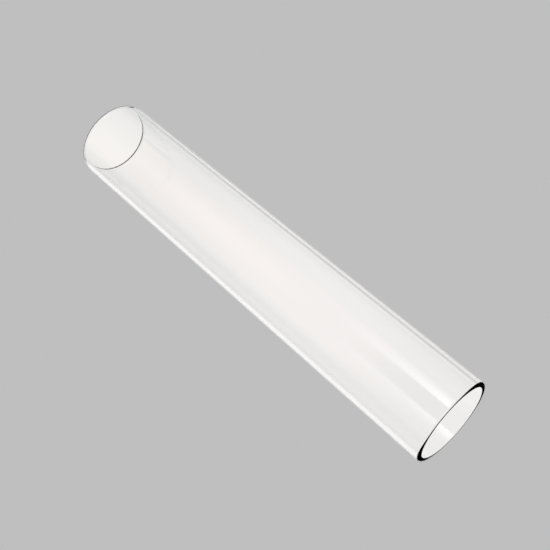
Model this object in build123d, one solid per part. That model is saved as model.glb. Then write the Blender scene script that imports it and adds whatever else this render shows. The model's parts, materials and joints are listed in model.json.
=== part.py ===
from build123d import *
import os

# A straight piece of clear glass tubing, open at both ends, with fire-polished rims.
# It lies along X with its middle at the origin. Millimetres.

# Driving dimensions
LENGTH = 200.0  # end to end
OUTER_DIAMETER = 36.0
WALL = 2.0  # thickness of the glass
# Each end was melted smooth: the outside turns onto the flat end in a quarter ellipse,
# and the bore turns onto it in a smaller quarter circle.
OUTER_RIM_ACROSS = 1.0  # half axis of the ellipse across the wall
OUTER_RIM_ALONG = 0.75  # half axis of the ellipse along the tube
BORE_RIM = 0.3  # radius of the quarter circle

OUTER_RADIUS = OUTER_DIAMETER / 2
BORE_RADIUS = OUTER_RADIUS - WALL
END = LENGTH / 2


def half_outline():
    """The right half of the wall's section, above the axis: bore, rim, end, rim, outside."""
    bore_turn = END - BORE_RIM
    outer_turn = END - OUTER_RIM_ALONG
    end_bottom = BORE_RADIUS + BORE_RIM
    end_top = OUTER_RADIUS - OUTER_RIM_ACROSS
    return Curve() + [
        Line((0, BORE_RADIUS), (bore_turn, BORE_RADIUS)),
        CenterArc((bore_turn, end_bottom), BORE_RIM, start_angle=-90, arc_size=90),
        Line((END, end_bottom), (END, end_top)),
        EllipticalCenterArc((outer_turn, end_top), OUTER_RIM_ALONG, OUTER_RIM_ACROSS, arc_size=90),
        Line((outer_turn, OUTER_RADIUS), (0, OUTER_RADIUS)),
    ]


def glass_tube():
    """The wall's section turned once around the tube's axis."""
    right = half_outline()
    section = make_face(right + mirror(right, about=Plane.YZ))
    return revolve(section, axis=Axis.X, revolution_arc=360)


os.makedirs("parts", exist_ok=True)
export_step(glass_tube(), "parts/glass_tube.step")
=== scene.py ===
import json
import math

import bpy
from mathutils import Matrix, Vector


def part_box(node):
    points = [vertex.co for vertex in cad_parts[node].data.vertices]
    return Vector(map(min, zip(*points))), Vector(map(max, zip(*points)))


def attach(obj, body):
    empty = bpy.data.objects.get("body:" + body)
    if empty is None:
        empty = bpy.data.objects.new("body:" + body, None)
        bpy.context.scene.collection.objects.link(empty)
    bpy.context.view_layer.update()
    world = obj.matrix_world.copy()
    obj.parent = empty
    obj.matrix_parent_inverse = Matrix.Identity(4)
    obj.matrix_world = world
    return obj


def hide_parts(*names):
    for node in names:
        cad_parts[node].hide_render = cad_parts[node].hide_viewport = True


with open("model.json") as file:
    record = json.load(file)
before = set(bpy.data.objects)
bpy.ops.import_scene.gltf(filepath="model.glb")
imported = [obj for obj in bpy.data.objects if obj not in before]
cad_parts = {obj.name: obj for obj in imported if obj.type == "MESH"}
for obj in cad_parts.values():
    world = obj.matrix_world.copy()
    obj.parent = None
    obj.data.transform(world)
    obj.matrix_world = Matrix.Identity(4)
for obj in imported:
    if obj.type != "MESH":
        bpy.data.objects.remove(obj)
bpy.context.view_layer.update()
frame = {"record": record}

# A plain, clear glass tube with fire-polished rims lies along X on a pale floor.

# The glass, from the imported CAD
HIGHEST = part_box("glass_tube")[1]
END = HIGHEST.x
OUTER_RADIUS = HIGHEST.y
BORE_RADIUS = next(m["dims"]["r_mm"] for m in frame["record"]["mounts"] if m["name"] == "bore") / 1000
WALL = OUTER_RADIUS - BORE_RADIUS

# The melted rims: a quarter ellipse outside, a small quarter circle at the bore
OUTER_RIM_ACROSS = WALL / 2
OUTER_RIM_ALONG = 0.75 * OUTER_RIM_ACROSS
BORE_RIM = 0.15 * WALL
RIM_STEPS = 12
# A narrow ring of faces beside each rounding keeps the long walls' shading straight.
GUARD = WALL / 100
STEPS_ROUND = 384

# The glass itself: a faint tint that is partly the glass's own and partly a painted warm sheen of the
# room's light, and the haze and waves that drawing and handling leave in it
GLASS_IOR = 1.506
GLASS_TINT_AND_PAINTED_SHEEN = ((0.989, 0.991, 0.991), (1.0, 0.997, 0.996))
GLASS_HAZE = 0.015  # highest roughness
CLOUD_SCALE = (25, 25, 25)  # of the tint and haze, per metre
DRAWN_WAVE = 0.000003  # height of the lengthwise waves
DRAWN_WAVE_SCALE = (3, 260, 260)

# The camera looks down on the tube, along it from above one end.
CAMERA_PLACE = Vector((0.16237, -0.14305, 0.26167))
CAMERA_LOOK = Vector((-0.45876, 0.42546, -0.78009))
LENS = 54.62

# The surroundings, as the glass meets them. Brightness 1 is white, and pairs of X or Y are the
# places on the floor, in metres, where a change starts and ends.
BACKDROP = 0.521  # the flat grey that the camera sees behind the tube
BLACK = (0, 0, 0)

FLOOR_HALF = 20 * END
FLOOR_GAP = 0.0001  # between the floor and the tube

# The floor seen through the glass gives off painted light: a white sheet, lighter just past the far end.
# Its back edge is painted greyer, with a painted dark line near it, and both turn in towards the tube past
# the far end.
SHEET = (0.89, 0.878, 0.864)
SHEET_PAST_END = (0.925, 0.912, 0.888)
PAST_END_X = (-0.08, -0.12)
PAST_END_Y = (-0.012, 0.028, 0.008)  # from, to, and how soft
SHEET_BACK = 0.83
SHEET_BACK_Y = (0.062, 0.140)
SHEET_LINE = 0.58
SHEET_LINE_Y = (0.100, 0.015)  # middle and spread

# The floor seen as a reflection in the glass has a lit strip on each side of the tube.
UNDER_TUBE = 0.72
UNDER_TUBE_START = (-0.0205, -0.0125)
UNDER_TUBE_END = (0.124, 0.100)
NEAR_STRIP = 1.3
NEAR_STRIP_Y = (-0.0275, -0.0165, 0.004)
FAR_STRIP = 1.0
FAR_STRIP_Y = (0.078, 0.112, 0.012)
FAR_STRIP_X = (0.06, -0.10)  # where it starts and is full
SHADE = 0.05  # just outside the strips
NEAR_SIDE = (0.85, 0.67, 0.62)  # further out, towards -Y
NEAR_SIDE_Y = (-0.06, -0.32)
FAR_SIDE = 0.35  # further out, towards +Y
FAR_SIDE_Y = (0.150, 0.200)
NEAR_END_X = (END, END + 0.002)  # nothing is lit past the near end

# The room's soft panels: a tint, then the middle and spread of the angle round the tube in
# degrees (0 to +Y, 90 straight up, 180 to -Y), then those of the direction's share along X.
ROOM = (0.40, 0.43, 0.47)
WARM_WALL = ((1.46, 1.17, 1.03), (135, 41), (-0.49, 0.21))
PINK_PATCH = ((1.08, 0.80, 0.84), (142, 20), (-0.36, 0.06))
PALE_PATCH = ((1.15, 1.15, 1.20), (86, 15), (-0.32, 0.10))
LOW_GLOW = ((1.25, 0.98, 0.90), (168, 15), (-0.47, 0.30))
COOL_WALL = ((0.85, 0.85, 0.90), (55, 55), (-0.41, 0.12))
OVERHEAD = ((93, 14), (-0.06, 0.18))
OVERHEAD_REFLECTED = 8.2
OVERHEAD_THROUGH = 4.4
# A grey board stands beside the overhead panel and gives it a crisp edge.
BOARD = (0.54, 0.51, 0.53)
BOARD_ANGLE = (98, 152, 2.4)
BOARD_ALONG = (-0.36, -0.24)


def quarter(centre, along, across, start):
    """Points (x, radius) on a quarter ellipse, turning clockwise from start degrees."""
    points = []
    for i in range(RIM_STEPS + 1):
        angle = math.radians(start - 90 * i / RIM_STEPS)
        points.append((centre[0] + along * math.cos(angle), centre[1] + across * math.sin(angle)))
    return points


def wall_outline():
    """The closed outline of the wall's section, from the middle of the outside, clockwise."""
    outer = (END - OUTER_RIM_ALONG, OUTER_RADIUS - OUTER_RIM_ACROSS)
    inner = (END - BORE_RIM, BORE_RADIUS + BORE_RIM)
    right = [(outer[0] - GUARD, OUTER_RADIUS)]
    right += quarter(outer, OUTER_RIM_ALONG, OUTER_RIM_ACROSS, 90)
    right += [(END, outer[1] - GUARD), (END, inner[1] + GUARD)]
    right += quarter(inner, BORE_RIM, BORE_RIM, 0)
    right += [(inner[0] - GUARD, BORE_RADIUS)]
    left = [(-x, radius) for x, radius in reversed(right)]
    return right + left


def turned(name, outline):
    """A closed mesh made by turning an outline of (x, radius) once around the X axis."""
    count = len(outline)
    vertices = []
    faces = []
    for step in range(STEPS_ROUND):
        angle = math.tau * step / STEPS_ROUND
        vertices += [(x, radius * math.sin(angle), radius * math.cos(angle)) for x, radius in outline]
        here = step * count
        there = (step + 1) % STEPS_ROUND * count
        for i in range(count):
            following = (i + 1) % count
            faces.append((here + i, here + following, there + following, there + i))
    mesh = bpy.data.meshes.new(name)
    mesh.from_pydata(vertices, [], faces)
    mesh.polygons.foreach_set("use_smooth", [True] * len(mesh.polygons))
    mesh.update()
    piece = bpy.data.objects.new(name, mesh)
    bpy.context.scene.collection.objects.link(piece)
    return piece


def camera():
    """The camera, level from side to side."""
    look = CAMERA_LOOK.normalized()
    right = look.cross(Vector((0, 0, 1))).normalized()
    up = right.cross(look)
    data = bpy.data.cameras.new("camera")
    data.lens = LENS
    data.sensor_width = 36
    data.clip_start = 0.001
    made = bpy.data.objects.new("camera", data)
    made.matrix_world = Matrix.Translation(CAMERA_PLACE) @ Matrix((right, up, -look)).transposed().to_4x4()
    bpy.context.scene.collection.objects.link(made)
    bpy.context.scene.camera = made


class Wires:
    """Short names for wiring a node tree."""

    def __init__(self, tree):
        tree.nodes.clear()
        self.tree = tree

    def node(self, kind, **settings):
        made = self.tree.nodes.new(kind)
        for name, value in settings.items():
            setattr(made, name, value)
        return made

    def feed(self, socket, value):
        """Sets a socket to a number or colour, or links another socket to it."""
        if isinstance(value, bpy.types.NodeSocket):
            self.tree.links.new(value, socket)
        elif isinstance(value, tuple):
            socket.default_value = (*value, 1)[: len(socket.default_value)]
        else:
            socket.default_value = value

    def math(self, operation, *values):
        made = self.node("ShaderNodeMath", operation=operation)
        for socket, value in zip(made.inputs, values):
            self.feed(socket, value)
        return made.outputs[0]

    def ramp(self, value, start, end):
        """0 at start, 1 at end, with a soft step between; end may be below start."""
        made = self.node("ShaderNodeMapRange", interpolation_type="SMOOTHSTEP")
        rising = start < end
        made.inputs["From Min"].default_value = min(start, end)
        made.inputs["From Max"].default_value = max(start, end)
        made.inputs["To Min"].default_value = 0 if rising else 1
        made.inputs["To Max"].default_value = 1 if rising else 0
        self.feed(made.inputs["Value"], value)
        return made.outputs["Result"]

    def between(self, value, low, high, soft):
        """1 from low to high, with soft edges on both sides."""
        rise = self.ramp(value, low - soft, low + soft)
        fall = self.ramp(value, high + soft, high - soft)
        return self.math("MULTIPLY", rise, fall)

    def lobe(self, *ranges):
        """1 in the middle of every (value, middle, spread), falling away softly on all sides."""
        total = 0
        for value, middle, spread in ranges:
            off = self.math("DIVIDE", self.math("SUBTRACT", value, middle), spread)
            total = self.math("MULTIPLY_ADD", off, off, total)
        return self.math("EXPONENT", self.math("MULTIPLY", total, -1))

    def blend(self, share, first, second):
        """first where share is 0, second where it is 1."""
        made = self.node("ShaderNodeMix", data_type="RGBA")
        factor, a, b = (made.inputs[i] for i in (0, 6, 7))
        self.feed(factor, share)
        self.feed(a, first)
        self.feed(b, second)
        return made.outputs[2]

    def noise(self, place, scale):
        """Soft noise from 0 to 1, with its own scale along each axis."""
        stretch = self.node("ShaderNodeMapping")
        stretch.inputs["Scale"].default_value = scale
        self.feed(stretch.inputs["Vector"], place)
        made = self.node("ShaderNodeTexNoise")
        made.inputs["Scale"].default_value = 1
        self.feed(made.inputs["Vector"], stretch.outputs[0])
        return made.outputs[0]

    def by_way(self, reflected, through):
        """One colour for rays last reflected off the glass, another for rays through it."""
        path = self.node("ShaderNodeLightPath")
        return self.blend(path.outputs["Is Transmission Ray"], reflected, through)

    def shine(self, colour, shader, output):
        """Gives off a colour, with the flat backdrop in its place for the camera itself."""
        path = self.node("ShaderNodeLightPath")
        light = self.node(shader)
        self.feed(light.inputs["Color"], self.blend(path.outputs["Is Camera Ray"], colour, grey(BACKDROP)))
        self.feed(self.node(output).inputs["Surface"], light.outputs[0])


def grey(level):
    return (level, level, level)


def glass():
    """Clear glass: a trace of tint that is partly a painted warm sheen, some haze, and the faint
    lengthwise waves left by drawing it.
    """
    material = bpy.data.materials.new("clear_glass")
    material.use_nodes = True
    wires = Wires(material.node_tree)
    place = wires.node("ShaderNodeTexCoord").outputs["Object"]
    clouds = wires.noise(place, CLOUD_SCALE)
    bump = wires.node("ShaderNodeBump")
    bump.inputs["Distance"].default_value = DRAWN_WAVE
    wires.feed(bump.inputs["Height"], wires.noise(place, DRAWN_WAVE_SCALE))

    shader = wires.node("ShaderNodeBsdfPrincipled")
    shader.inputs["IOR"].default_value = GLASS_IOR
    shader.inputs["Transmission Weight"].default_value = 1
    # The clouds of tint in the base colour are partly a painted warm sheen of the room's light.
    wires.feed(shader.inputs["Base Color"], wires.blend(clouds, *GLASS_TINT_AND_PAINTED_SHEEN))
    wires.feed(shader.inputs["Roughness"], wires.math("MULTIPLY", clouds, GLASS_HAZE))
    wires.feed(shader.inputs["Normal"], bump.outputs[0])
    wires.feed(wires.node("ShaderNodeOutputMaterial").inputs["Surface"], shader.outputs[0])
    return material


def sheet(wires, x, y):
    """The floor as it is seen through the glass."""
    past_end = wires.math("MULTIPLY", wires.ramp(x, *PAST_END_X), wires.between(y, *PAST_END_Y))
    colour = wires.blend(past_end, SHEET, SHEET_PAST_END)
    past = wires.math("MAXIMUM", 0, wires.math("SUBTRACT", -END, x))
    back = wires.math("ADD", y, past)
    colour = wires.blend(wires.ramp(back, *SHEET_BACK_Y), colour, grey(SHEET_BACK))
    return wires.blend(wires.lobe((back, *SHEET_LINE_Y)), colour, grey(SHEET_LINE))


def strips(wires, x, y):
    """The floor as it is reflected in the glass."""
    colour = wires.blend(wires.ramp(y, *NEAR_SIDE_Y), grey(SHADE), NEAR_SIDE)
    colour = wires.blend(wires.ramp(y, *FAR_SIDE_Y), colour, grey(FAR_SIDE))
    under = wires.math("MULTIPLY", wires.ramp(y, *UNDER_TUBE_START), wires.ramp(y, *UNDER_TUBE_END))
    colour = wires.blend(under, colour, grey(UNDER_TUBE))
    colour = wires.blend(wires.between(y, *NEAR_STRIP_Y), colour, grey(NEAR_STRIP))
    far = wires.math("MULTIPLY", wires.between(y, *FAR_STRIP_Y), wires.ramp(x, *FAR_STRIP_X))
    colour = wires.blend(far, colour, grey(FAR_STRIP))
    return wires.blend(wires.ramp(x, *NEAR_END_X), colour, BLACK)


def floor():
    """A wide floor just under the tube that glows: flat grey to the camera, painted light and shade to the
    glass.
    """
    half = FLOOR_HALF
    z = -OUTER_RADIUS - FLOOR_GAP
    corners = [(-half, -half, z), (half, -half, z), (half, half, z), (-half, half, z)]
    mesh = bpy.data.meshes.new("floor")
    mesh.from_pydata(corners, [], [(0, 1, 2, 3)])
    mesh.update()
    made = bpy.data.objects.new("floor", mesh)
    bpy.context.scene.collection.objects.link(made)
    material = bpy.data.materials.new("floor")
    material.use_nodes = True
    mesh.materials.append(material)

    wires = Wires(material.node_tree)
    place = wires.node("ShaderNodeSeparateXYZ")
    wires.feed(place.inputs[0], wires.node("ShaderNodeNewGeometry").outputs["Position"])
    x, y = place.outputs[0], place.outputs[1]
    colour = wires.by_way(strips(wires, x, y), sheet(wires, x, y))
    wires.shine(colour, "ShaderNodeEmission", "ShaderNodeOutputMaterial")


def room():
    """The room above the floor: a cool grey, with soft panels of light round the tube."""
    world = bpy.data.worlds.new("room")
    bpy.context.scene.world = world
    world.use_nodes = True
    wires = Wires(world.node_tree)
    way = wires.node("ShaderNodeSeparateXYZ")
    wires.feed(way.inputs[0], wires.node("ShaderNodeTexCoord").outputs["Generated"])
    along, across, height = way.outputs
    angle = wires.math("DEGREES", wires.math("ARCTAN2", height, across))

    overhead = wires.by_way(grey(OVERHEAD_REFLECTED), grey(OVERHEAD_THROUGH))
    colour = ROOM
    for tint, round_tube, along_tube in (
        WARM_WALL,
        PINK_PATCH,
        PALE_PATCH,
        (overhead, *OVERHEAD),
        LOW_GLOW,
        COOL_WALL,
    ):
        share = wires.lobe((angle, *round_tube), (along, *along_tube))
        colour = wires.blend(share, colour, tint)
    board = wires.math("MULTIPLY", wires.between(angle, *BOARD_ANGLE), wires.ramp(along, *BOARD_ALONG))
    colour = wires.blend(board, colour, BOARD)
    wires.shine(colour, "ShaderNodeBackground", "ShaderNodeOutputWorld")


tube = turned("tube_glass", wall_outline())
tube.data.materials.append(glass())
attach(tube, "root")
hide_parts("glass_tube")

camera()
floor()
room()
bpy.context.scene.view_settings.view_transform = "Standard"

bpy.context.view_layer.update()
